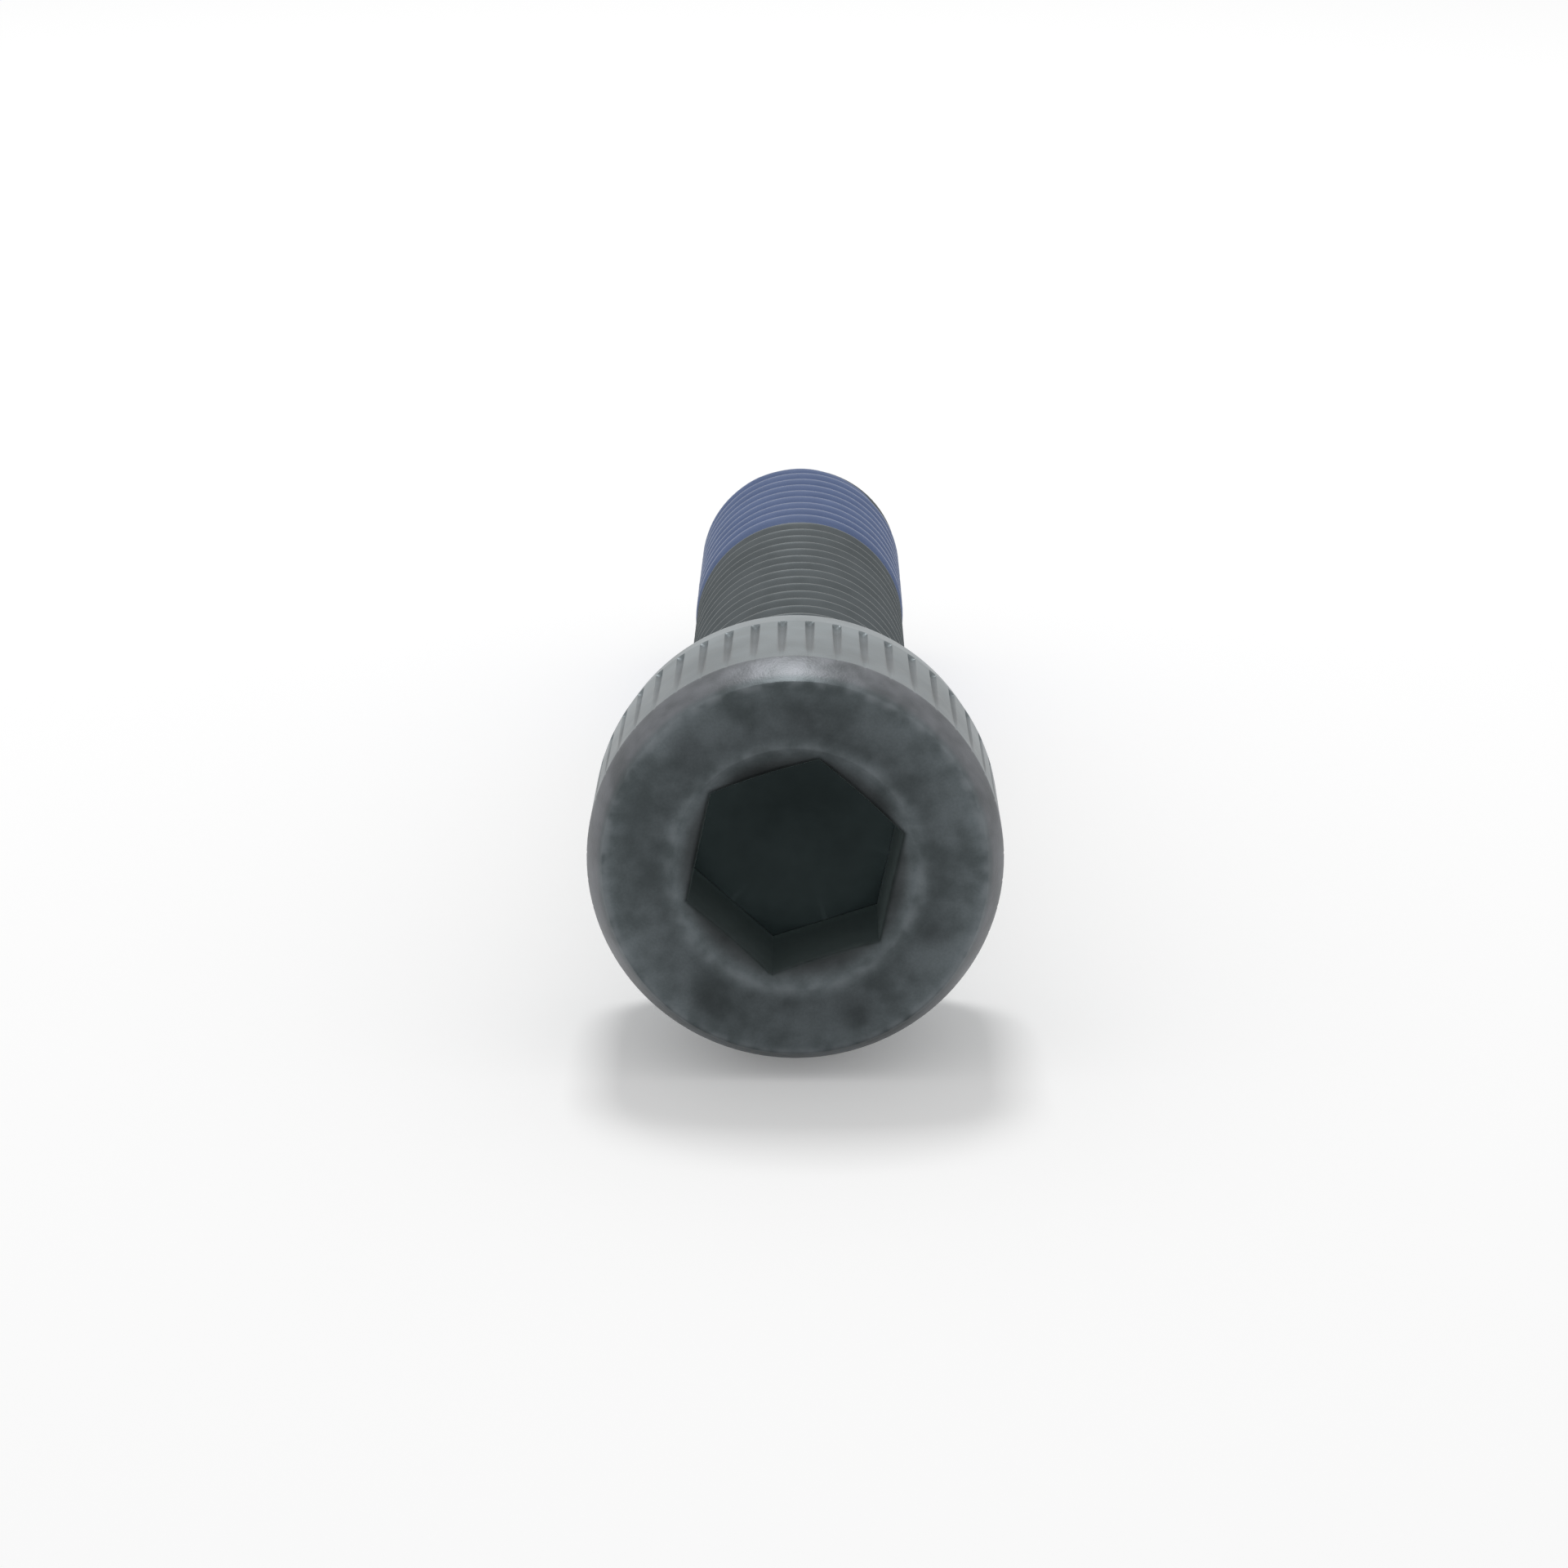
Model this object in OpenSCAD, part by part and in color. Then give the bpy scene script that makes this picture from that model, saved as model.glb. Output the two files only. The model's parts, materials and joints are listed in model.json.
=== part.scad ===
// Metric socket head cap screw, threaded up to its head, with a thread-locking coat near the tip.
// It lies on its side as it comes to rest: the widest part of the head and the far end of the
// thread touch z = 0. The head points to -Y and the tip to +Y. The axis dips a little towards
// the tip, because the head is wider than the thread.
// In the screw's own frame the axis is Z, the bearing face is z = 0 and the tip is at +Z.

/* [Thread] */
// Outside diameter of the thread
thread_d = 8; // [7:0.25:9]
// Pitch of the thread
thread_pitch = 1.25; // [0.8:0.05:1.5]
// Length of the screw under its head
shank_len = 40; // [25:1:60]
// Length over which the thread runs out towards the neck
runout_len = 1.5; // [0.8:0.1:3]
// Diameter of the flat end at the tip
tip_d = 6.1; // [5:0.1:6.4]
// Length of the chamfer at the tip
tip_chamfer_h = 0.95; // [0.5:0.05:1.5]

/* [Neck] */
// Length of the plain neck between the head and the thread
neck_len = 1.2; // [0.8:0.1:3]
// Radius of the fillet between the neck and the bearing face
neck_fillet = 0.4; // [0.2:0.05:0.6]

/* [Head] */
// Diameter of the head over the knurling
head_d = 13; // [12:0.25:15]
// Height of the head
head_h = 8; // [7.5:0.25:10]
// Width of the bevel round the face, measured on the face
face_bevel_w = 0.55; // [0.2:0.05:1]
// Height of the bevel round the face, measured on the side
face_bevel_h = 1.25; // [0.3:0.05:1.5]
// Narrowing of the plain band between the knurling and the bearing face, measured on the radius
rim_taper_w = 0.17; // [0.05:0.01:0.3]
// Height of that plain band above the bearing face
rim_taper_h = 1.75; // [0.8:0.05:2.5]
// Size of the broken edge round the bearing face
rim_break = 0.15; // [0.05:0.05:0.4]

/* [Knurling] */
// Number of grooves round the head
groove_count = 47; // [36:1:60]
// Distance from the face at which the grooves begin
groove_start = 1.3; // [1:0.1:2.5]
// Distance from the face at which the grooves end
groove_end = 6.2; // [5:0.1:7]
// Radius of a groove's section and of its rounded end
groove_r = 0.155; // [0.12:0.005:0.2]
// Depth of a groove where it begins
groove_depth_start = 0.015; // [0.01:0.005:0.06]
// Depth of a groove where it ends
groove_depth_end = 0.125; // [0.06:0.005:0.15]

/* [Hexagon socket] */
// Width across the flats of the key that drives the screw
key_af = 6; // [5:0.25:6.5]
// Gap between the key and each flat of the socket
key_clearance = 0.03; // [0.01:0.01:0.1]
// Depth of the socket's flats below the face
socket_depth = 4.4; // [3:0.1:5]
// Depth of the drilled cone below the flats
socket_cone_h = 0.6; // [0.2:0.1:1]
// Diameter of the bevel at the socket's mouth
mouth_d = 7.75; // [7.6:0.05:8.5]
// Angle of the bevel below the face
mouth_angle = 30; // [20:5:45]
// Turn of one socket corner from upright, clockwise as seen on the face, in degrees
socket_turn = 12; // [0:1:59]

/* [Thread-locking coat] */
// Length of the coat along the screw
coat_len = 11.5; // [5:0.5:12]
// Bare thread between the coat and the tip
coat_tip_gap = 1.2; // [1.2:0.1:5]
// Thickness of the coat on the thread's crests
coat_on_crest = 0.08; // [0.04:0.01:0.2]
// Thickness of the coat in the thread's roots
coat_in_root = 0.46; // [0.1:0.02:0.6]
// Thickness of the coat at its two ends
coat_at_edge = 0.04; // [0.02:0.01:0.1]

/* [Hidden] */

// Thread form: a 60 degree profile with a flat crest of 1/8 pitch and a root of 1/6 pitch.
// HELIX_LINES are the profile's corners along the axis, in pitches from a crest's middle.
CREST_HALF = 1 / 16;
ROOT_HALF = 1 / 12;
HELIX_LINES = [-CREST_HALF, CREST_HALF, 0.5 - ROOT_HALF, 0.5 + ROOT_HALF];
LINES = len(HELIX_LINES);
SIDES = 24;
// Where the first side starts, as a part of a side. The thread then rests close beside one of
// the edges between its sides, which holds the screw from rolling.
SIDE_PHASE = 0.75;
flank_run = 0.5 - ROOT_HALF - CREST_HALF;
thread_depth = flank_run * thread_pitch / tan(30);
crest_r = thread_d / 2;
root_r = crest_r - thread_depth;
// Rolling raises the crests and sinks the roots from a blank of the pitch diameter
blank_r = crest_r - 3 / 8 * thread_pitch * cos(30);
// The thread starts inside the neck, a hair under its surface
thread_inset = 0.03;
thread_from = neck_len / 2;
tip_slope = (crest_r - tip_d / 2) / tip_chamfer_h;
// Corners of the profile that would come closer than this to an end are left out
end_clear = thread_pitch / 40;
line_count = LINES * (ceil(shank_len / thread_pitch) + 2);

coat_to = shank_len - coat_tip_gap;
coat_from = coat_to - coat_len;

head_r = head_d / 2;
socket_af = key_af + 2 * key_clearance;
socket_corner_r = socket_af / 2 / cos(30);
mouth_r = max(mouth_d / 2, socket_corner_r + 0.05);
mouth_h = (mouth_r - socket_af / 2) * tan(mouth_angle);

// What may touch the surface on the head and on the shank, each as a height along the screw
// and a reach below its axis. These two sides of the thread are the lowest ones.
head_feet = [[-rim_taper_h, head_r], [-rim_break, head_r - rim_taper_w]];
UNDERSIDES = [SIDES / 4 - 1, SIDES / 4];
shank_feet = [for (i = UNDERSIDES) each concat(
    feet(thread_from, shank_len, i, function(z, i) steel_radius(z, i)),
    feet(coat_from, coat_to, i, function(z, i) coat_radius(z, i)))];
// The screw tips on its head until the coat or the thread meets the surface
function lean(far) = max([for (near = head_feet) atan((near[1] - far[1]) / (far[0] - near[0]))]);
tilt = min([for (far = shank_feet) lean(far)]);
lift = max([for (near = head_feet) near[1] * cos(tilt) + near[0] * sin(tilt)]);
face_r = head_r - face_bevel_w;
low_y = -head_h * cos(tilt) - face_r * sin(tilt);
high_y = shank_len * cos(tilt) + tip_d / 2 * sin(tilt);

steel_colour = "#56595b";
coat_colour = "#5b6b9b";
$fn = 96;

// ---- Surface of the thread ----------------------------------------------------------------

// Height of helix line m on side i of the screw
function line_z(m, i) = thread_pitch * (floor(m / LINES) + HELIX_LINES[m % LINES] + i / SIDES);

// Helix lines that cross side i between the heights a and b
function lines_at(i, a, b) = [
    for (m = [0 : line_count])
        if (line_z(m, i) > a + end_clear && line_z(m, i) < b - end_clear) m
];

// How much of the full thread stands at height z on side i: 0 in a root and 1 on a crest
function thread_height(z, i) =
    let (turns = z / thread_pitch - i / SIDES, part = turns - floor(turns))
    lookup(part, [
        [0, 1], [CREST_HALF, 1], [0.5 - ROOT_HALF, 0],
        [0.5 + ROOT_HALF, 0], [1 - CREST_HALF, 1], [1, 1]
    ]);

// Radius of the steel, with the run-out at the neck and the chamfer at the tip
function steel_radius(z, i) =
    let (
        formed = min(1, max(0, (z - neck_len) / runout_len)),
        inner = blank_r - thread_inset,
        full = root_r + thread_depth * thread_height(z, i),
        threaded = inner + (full - inner) * formed
    )
    min(threaded, tip_d / 2 + (shank_len - z) * tip_slope);

// Radius of the coat, which is thicker in the roots and thin at its two ends
function coat_radius(z, i) =
    let (
        height = thread_height(z, i),
        at_end = z < coat_from + end_clear || z > coat_to - end_clear,
        thickness = at_end ? coat_at_edge : coat_in_root + (coat_on_crest - coat_in_root) * height
    )
    steel_radius(z, i) + thickness;

function side_turn(i) = 360 * (i + SIDE_PHASE) / SIDES;

function on_side(i, z, r) = [r * cos(side_turn(i)), r * sin(side_turn(i)), z];

// Height of each helix line on side i, and how far it reaches below the screw's axis
function feet(a, b, i, radius) = [
    for (m = lines_at(i, a, b)) let (z = line_z(m, i)) [z, radius(z, i) * sin(side_turn(i))]
];

// Points of a threaded wall from height a to height b, side by side and from low to high.
// radius is a function of the height and the side.
function wall_points(a, b, radius) = [
    for (i = [0 : SIDES - 1])
        each [for (z = [a, for (m = lines_at(i, a, b)) line_z(m, i), b]) on_side(i, z, radius(z, i))]
];

// Index of each side's lowest point, with the whole count at the end
function wall_starts(a, b) = [
    for (i = 0, at = 0; i <= SIDES; at = at + len(lines_at(i % SIDES, a, b)) + 2, i = i + 1) at
];

function fan(path) = [for (k = [1 : len(path) - 2]) [path[0], path[k], path[k + 1]]];

// Triangles of the wall between side i and the next one. A line that leaves the last side
// is the line one turn higher on the first side.
function strip(i, a, b, starts) =
    let (
        j = (i + 1) % SIDES,
        wrap = i + 1 == SIDES ? LINES : 0,
        here = lines_at(i, a, b),
        next = [for (m = lines_at(j, a, b)) m - wrap],
        here_at = starts[i] + 1 - here[0],
        next_at = starts[j] + 1 - next[0],
        here_top = here[len(here) - 1],
        next_top = next[len(next) - 1],
        low = max(here[0], next[0]),
        high = min(here_top, next_top),
        above = [for (m = [here_top : -1 : high]) here_at + m],
        below = [for (m = [low : -1 : next[0]]) next_at + m]
    )
    concat(
        fan(concat([starts[i]], [for (m = [here[0] : low]) here_at + m], below, [starts[j]])),
        [for (m = [low : 1 : high - 1]) each [
            [here_at + m, here_at + m + 1, next_at + m + 1],
            [here_at + m, next_at + m + 1, next_at + m]
        ]],
        fan(concat([next_at + next_top + 1],
            [for (m = [next_top : -1 : high]) next_at + m],
            [for (m = [high : here_top]) here_at + m], [here_at + here_top + 1]))
    );

function wall_faces(a, b, starts) = [for (i = [0 : SIDES - 1]) each strip(i, a, b, starts)];

function reversed(list) = [for (k = [len(list) - 1 : -1 : 0]) list[k]];

module thread() {
    starts = wall_starts(thread_from, shank_len);
    bottom = [for (i = [0 : SIDES - 1]) starts[i]];
    top = [for (i = [SIDES : -1 : 1]) starts[i] - 1];
    polyhedron(
        points = wall_points(thread_from, shank_len, function(z, i) steel_radius(z, i)),
        faces = concat(wall_faces(thread_from, shank_len, starts), [bottom, top]),
        convexity = 10);
}

// ---- Head -----------------------------------------------------------------------------------

module head_blank() {
    rotate_extrude()
        polygon([
            [0, -head_h], [face_r, -head_h], [head_r, -head_h + face_bevel_h],
            [head_r, -rim_taper_h], [head_r - rim_taper_w, -rim_break],
            [head_r - rim_taper_w - rim_break, 0], [0, 0]
        ]);
}

// Plain neck and the fillet that joins it to the bearing face
module neck() {
    root_w = blank_r + neck_fillet;
    rotate_extrude()
        difference() {
            union() {
                translate([0, -neck_fillet]) square([blank_r, neck_len + neck_fillet]);
                translate([0, -neck_fillet]) square([root_w, 2 * neck_fillet]);
            }
            translate([root_w, neck_fillet]) circle(neck_fillet);
        }
}

// One groove of the knurling: a ball-ended rod that leans inwards towards the bearing face
module groove_cutter() {
    run = groove_end - groove_r - groove_start;
    slant = atan((groove_depth_end - groove_depth_start) / run);
    translate([head_r + groove_r - groove_depth_end, 0, -head_h + groove_end - groove_r]) {
        sphere(groove_r, $fn = 16);
        rotate([0, -slant, 0]) mirror([0, 0, 1])
            cylinder(h = run + groove_start, r = groove_r, $fn = 16);
    }
}

// The grooves, with one of them at the very bottom and a land near the very top
module knurling() {
    for (k = [0 : groove_count - 1])
        rotate(90 + 360 * k / groove_count) groove_cutter();
}

module hexagon_socket() {
    // The hexagon starts above the face, and the cone starts a hair inside the hexagon
    mouth_over = 0.5;
    cone_over = 0.01;
    translate([0, 0, -head_h]) {
        rotate(socket_turn - 90) translate([0, 0, -mouth_over])
            cylinder(h = socket_depth + mouth_over, r = socket_corner_r, $fn = 6);
        translate([0, 0, socket_depth - cone_over])
            cylinder(h = socket_cone_h, r1 = socket_af / 2, r2 = 0);
        cylinder(h = mouth_h, r1 = mouth_r, r2 = mouth_r - mouth_h / tan(mouth_angle));
    }
}

// ---- Pieces ---------------------------------------------------------------------------------

module lie_down() {
    translate([0, -(low_y + high_y) / 2, lift]) rotate([-90 - tilt, 0, 0]) children();
}

module screw() {
    color(steel_colour) lie_down() {
        difference() {
            union() {
                head_blank();
                neck();
            }
            knurling();
            hexagon_socket();
        }
        thread();
    }
}

module thread_coat() {
    starts = wall_starts(coat_from, coat_to);
    outside = wall_points(coat_from, coat_to, function(z, i) coat_radius(z, i));
    inside = wall_points(coat_from, coat_to, function(z, i) steel_radius(z, i));
    count = len(outside);
    faces_out = wall_faces(coat_from, coat_to, starts);
    color(coat_colour) lie_down()
        polyhedron(
            points = concat(outside, inside),
            faces = concat(
                faces_out,
                [for (f = faces_out) [for (p = reversed(f)) p + count]],
                [for (i = [0 : SIDES - 1]) let (j = (i + 1) % SIDES)
                    [starts[i], starts[j], starts[j] + count, starts[i] + count]],
                [for (i = [0 : SIDES - 1]) let (j = (i + 1) % SIDES, t = starts[i + 1] - 1, u = starts[j + 1] - 1)
                    [u, t, t + count, u + count]]
            ),
            convexity = 10);
}

screw();
thread_coat();
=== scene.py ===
"""Finish of a socket head cap screw: its steel skin, its thread-locking coat and a plain stage.

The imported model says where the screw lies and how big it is. The screw's own frame has its axis
on Z, its bearing face at height 0, its face at minus the head's height and its tip at plus the
length under the head. Each piece is made in that frame and then laid in the model's place.
"""

import json
import math

import bpy
import numpy as np
from bpy.props import FloatProperty, FloatVectorProperty, IntProperty, PointerProperty
from bpy.types import Operator, Panel, PropertyGroup
from mathutils import Matrix, Vector


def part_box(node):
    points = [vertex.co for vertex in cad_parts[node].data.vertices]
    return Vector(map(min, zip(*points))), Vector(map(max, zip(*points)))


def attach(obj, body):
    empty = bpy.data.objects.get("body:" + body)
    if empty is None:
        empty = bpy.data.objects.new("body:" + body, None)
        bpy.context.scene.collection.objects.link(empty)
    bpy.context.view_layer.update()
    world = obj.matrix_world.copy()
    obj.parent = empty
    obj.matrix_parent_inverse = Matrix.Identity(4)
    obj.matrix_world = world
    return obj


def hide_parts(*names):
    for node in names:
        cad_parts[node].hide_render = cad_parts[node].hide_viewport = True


bl_info = {
    "name": "Socket Head Cap Screw",
    "version": (1, 0, 0),
    "blender": (4, 5, 0),
    "location": "3D View > Sidebar > Cap Screw",
    "description": "Makes a blackened cap screw with a knurled head and a thread-locking coat",
    "category": "Object",
}

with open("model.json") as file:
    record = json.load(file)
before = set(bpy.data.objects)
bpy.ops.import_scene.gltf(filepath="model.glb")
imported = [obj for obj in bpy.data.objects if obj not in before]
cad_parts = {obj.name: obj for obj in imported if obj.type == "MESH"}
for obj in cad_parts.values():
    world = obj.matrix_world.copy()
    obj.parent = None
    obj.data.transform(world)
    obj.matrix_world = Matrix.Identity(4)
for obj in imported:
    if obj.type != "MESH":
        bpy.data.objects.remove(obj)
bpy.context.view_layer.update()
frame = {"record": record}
MM = 0.001
TAU = 2 * math.pi

# Thread form, in pitches: half the flat crest, half the flat root, and the flank between them
CREST_HALF = 1 / 16
ROOT_HALF = 1 / 12
FLANK_RUN = 0.5 - CREST_HALF - ROOT_HALF
# Rounding of the crest's and the root's edges, as a share of the thread's depth
EDGE_SOFTNESS = 0.12
HALF_FLANK_ANGLE = math.radians(30)

TIP_DIAMETER = 6.05 * MM
FACE_BEVEL = 0.55 * MM
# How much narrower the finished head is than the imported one, so that it stays inside its box
HAIR = 0.001 * MM
# Points of a piece that are closer together than this are merged
WELD = 0.001 * MM


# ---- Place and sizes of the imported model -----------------


def screw_place():
    """The matrix that lays the screw's own frame in the model's place."""
    mounts = {m["name"]: m for m in frame["record"]["mounts"]}
    axis = Vector(mounts["thread"]["axis"]).normalized()
    on_axis = Vector(mounts["thread"]["pos_m"])
    bearing = Vector(mounts["bearing_face"]["pos_m"])
    origin = on_axis + axis * (bearing - on_axis).dot(axis)
    side = Vector((1, 0, 0))
    turn = Matrix((side, axis.cross(side), axis)).transposed()
    return Matrix.Translation(origin) @ turn.to_4x4()


PLACE = screw_place()


def packed_sizes():
    """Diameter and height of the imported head, and the length under it."""
    low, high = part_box("screw")
    axis = PLACE.col[2]
    diameter = round(high.x - low.x, 5) - HAIR
    face_radius = diameter / 2 - FACE_BEVEL
    height = (PLACE.translation.y - low.y + face_radius * axis.z) / axis.y
    length = (high.y - PLACE.translation.y + TIP_DIAMETER / 2 * axis.z) / axis.y
    return diameter, round(height, 5), round(length, 5)


HEAD_DIAMETER, HEAD_HEIGHT, SHANK_LENGTH = packed_sizes()


# ---- Sizes and colours that a user would change ----------


def length_property(name, description, millimetres, lowest=0.0):
    """A length in metres that shows in the scene's units."""
    return FloatProperty(
        name=name,
        description=description,
        default=millimetres * MM,
        min=lowest * MM,
        precision=5,
        subtype="DISTANCE",
        unit="LENGTH",
    )


def angle_property(name, description, degrees):
    """An angle in radians that shows in degrees."""
    return FloatProperty(
        name=name,
        description=description,
        default=math.radians(degrees),
        subtype="ANGLE",
        unit="ROTATION",
    )


def share_property(name, description, value, highest=1.0):
    """A plain number from 0 up."""
    return FloatProperty(
        name=name, description=description, default=value, min=0, max=highest, subtype="FACTOR"
    )


def colour_property(name, description, value):
    """A linear colour."""
    return FloatVectorProperty(
        name=name, description=description, default=value, size=3, min=0, max=1, subtype="COLOR"
    )


class HeadSizes(PropertyGroup):
    """Sizes of the head."""

    diameter: length_property("Diameter", "Diameter over the knurling", HEAD_DIAMETER / MM)
    height: length_property("Height", "Height of the head", HEAD_HEIGHT / MM)
    bevel_width: length_property("Bevel Width", "Width of the bevel round the face", FACE_BEVEL / MM)
    bevel_height: length_property("Bevel Height", "Height of that bevel on the side", 1.25)
    rim_taper: length_property("Rim Taper", "Narrowing of the plain band below the knurling", 0.17)
    rim_height: length_property("Rim Height", "Height of that plain band", 1.75)
    rim_break: length_property("Rim Break", "Broken edge round the bearing face", 0.15)
    bevel_bulge: length_property("Bevel Bulge", "How far that bevel bulges", 0.045)
    bevel_round: length_property("Bevel Rounding", "Rounding of the bevel's inner edge", 0.06)
    edge_round: length_property("Edge Rounding", "Rounding of the small edges", 0.05)


class KnurlSizes(PropertyGroup):
    """Sizes of the grooves round the head."""

    count: IntProperty(name="Grooves", description="Number of grooves", default=47, min=12)
    start: length_property("Start", "Distance from the face at which they begin", 1.3)
    end: length_property("End", "Distance from the face at which they end", 6.2)
    radius: length_property("Radius", "Radius of a groove's section", 0.155)
    depth_start: length_property("Depth at Start", "Depth where they begin", 0.015)
    depth_end: length_property("Depth at End", "Depth where they end", 0.125)
    settle: length_property("Settle", "Length past the end over which the faces even out", 0.8)


class SocketSizes(PropertyGroup):
    """Sizes of the hexagon socket."""

    across_flats: length_property("Across Flats", "Width across the flats", 6.06)
    depth: length_property("Depth", "Depth of the flats below the face", 4.4)
    cone_height: length_property("Cone Height", "Depth of the drilled cone below the flats", 0.6)
    mouth_diameter: length_property("Mouth Diameter", "Diameter of the bevelled mouth", 7.75)
    mouth_angle: angle_property("Mouth Angle", "Angle of the mouth's bevel below the face", 30)
    mouth_round: length_property("Mouth Rounding", "Rounding from that bevel to the flats", 0.22)
    turn: angle_property("Turn", "Turn of one corner from upright, clockwise on the face", 12)


class ThreadSizes(PropertyGroup):
    """Sizes of the thread, its neck and its tip."""

    diameter: length_property("Diameter", "Outside diameter, inside the packed facets", 7.93)
    pitch: length_property("Pitch", "Distance from crest to crest", 1.25, lowest=0.5)
    length: length_property("Length", "Length of the screw under its head", SHANK_LENGTH / MM)
    neck_length: length_property("Neck Length", "Plain neck between head and thread", 1.2)
    neck_fillet: length_property("Neck Fillet", "Fillet between neck and bearing face", 0.4)
    runout: length_property("Run-out", "Length over which the thread runs out", 1.5)
    tip_diameter: length_property("Tip Diameter", "Diameter of the flat end", TIP_DIAMETER / MM)
    tip_chamfer: length_property("Tip Chamfer", "Length of the chamfer at the tip", 0.95)
    rows: IntProperty(name="Rows", description="Rows of faces in one pitch", default=16, min=8)


class CoatSizes(PropertyGroup):
    """Sizes of the thread-locking coat."""

    length: length_property("Length", "Length along the screw", 11.5)
    tip_gap: length_property("Tip Gap", "Bare thread between the coat and the tip", 1.2)
    on_crest: length_property("On Crests", "Thickness on the thread's crests", 0.076)
    in_root: length_property("In Roots", "Thickness in the thread's roots", 0.44)
    fade: length_property("Fade", "Length over which the coat thins out at its ends", 0.35)
    ragged: length_property("Ragged", "How far the ends wander", 0.35)
    sink: length_property("Sink", "How far the inner wall lies in the steel", 0.03)
    seed: FloatProperty(name="Seed", description="Seed of the coat's lumps", default=3.7)


class Finishes(PropertyGroup):
    """Colours and gloss of the two finishes."""

    steel: colour_property("Steel", "Blackened steel", (0.119, 0.133, 0.14))
    steel_dark: colour_property("Dark Steel", "Thick patches of the oxide", (0.061, 0.0705, 0.073))
    steel_worn: colour_property("Worn Steel", "Edges where the oxide is thin", (0.19, 0.2, 0.21))
    # In the knurling's grooves this colour is partly painted shade
    hollow: colour_property("Hollows", "Film of oil and dust in the hollows, and painted shade in the grooves", (0.054, 0.042, 0.042))
    # Partly rubbed steel, partly painted light that lifts the socket's shaded walls
    socket_wall_rub_and_light: colour_property("Socket Walls", "Rubbed flats of the socket, lifted by painted light", (0.24, 0.29, 0.29))
    # Painted shade: the socket's floor is painted dark
    socket_floor_shade: colour_property("Socket Floor", "Floor of the socket", (0.0175, 0.0255, 0.026))
    steel_gloss: share_property("Steel Roughness", "Mean roughness of the steel", 0.43)
    coat: colour_property("Coat", "Dry thread-locking compound", (0.078, 0.126, 0.27))
    coat_pale: colour_property("Pale Coat", "Where the coat is thin", (0.13, 0.17, 0.29))
    face_tint: colour_property("Face Tint", "Tint of the steel on the face", (0.935, 0.97, 0.985))
    bevel_tint: colour_property("Bevel Tint", "Tint of the steel on the bevel", (1, 0.935, 0.96))
    # Painted shade on the bevel's lower side
    low_bevel_shade_tint: colour_property("Low Bevel Shade", "Painted shade low on the bevel", (0.72, 0.8, 0.82))


class StageSettings(PropertyGroup):
    """Floor, light and camera."""

    floor_colour: colour_property("Floor", "Colour of the floor", (0.9, 0.9, 0.9))
    floor_size: length_property("Floor Size", "Width of the floor", 3000)
    floor_lift: share_property("Floor Lift", "Glow that brings the floor up to white", 0.17)
    ambient: share_property("Ambient", "Strength of the light from all round", 0.6, highest=2)
    key_power: FloatProperty(
        name="Key Power", description="Power of the soft lamp", default=0.55, min=0, unit="POWER"
    )
    key_size: length_property("Key Size", "Width of the soft lamp", 100)
    key_distance: length_property("Key Distance", "From the head to the lamp", 400)
    key_height: angle_property("Key Height", "Height of the lamp beyond the screw", 65)
    key_aside: share_property("Key Aside", "How far the lamp stands to the left", 0.045)
    elevation: angle_property("Elevation", "Height of the view above the horizon", 18.12)
    swing: angle_property("Swing", "Turn of the view to the left", 0.42)
    distance: length_property("Distance", "From the camera to the head's edge", 135.2)
    aside: length_property("Aside", "Distance of the head's centre to the right of the view", 0.35)
    below: length_property("Below", "Distance of the head's centre below the view", 2.34)
    lens: FloatProperty(
        name="Lens", description="Focal length in mm", default=99.7, min=1, unit="CAMERA"
    )


class CapScrewSettings(PropertyGroup):
    """All settings of the cap screw."""

    head: PointerProperty(type=HeadSizes)
    knurl: PointerProperty(type=KnurlSizes)
    socket: PointerProperty(type=SocketSizes)
    thread: PointerProperty(type=ThreadSizes)
    coat: PointerProperty(type=CoatSizes)
    finish: PointerProperty(type=Finishes)
    stage: PointerProperty(type=StageSettings)


# ---- Nodes -----------------------------------------------


class Value:
    """A node's output in an expression: each operator adds one Math node to its tree."""

    def __init__(self, nodes, socket):
        self.nodes = nodes
        self.socket = socket

    def output(self, name):
        """Another output of the same node."""
        return Value(self.nodes, self.socket.node.outputs[name])

    def __add__(self, other):
        return self.nodes.math("ADD", self, other)

    __radd__ = __add__

    def __sub__(self, other):
        return self.nodes.math("SUBTRACT", self, other)

    def __rsub__(self, other):
        return self.nodes.math("SUBTRACT", other, self)

    def __mul__(self, other):
        return self.nodes.math("MULTIPLY", self, other)

    __rmul__ = __mul__

    def __truediv__(self, other):
        return self.nodes.math("DIVIDE", self, other)

    def __pow__(self, other):
        return self.nodes.math("POWER", self, other)

    def __abs__(self):
        return self.nodes.math("ABSOLUTE", self)

    def __gt__(self, other):
        return self.nodes.math("GREATER_THAN", self, other)

    def __lt__(self, other):
        return self.nodes.math("LESS_THAN", self, other)


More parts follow.
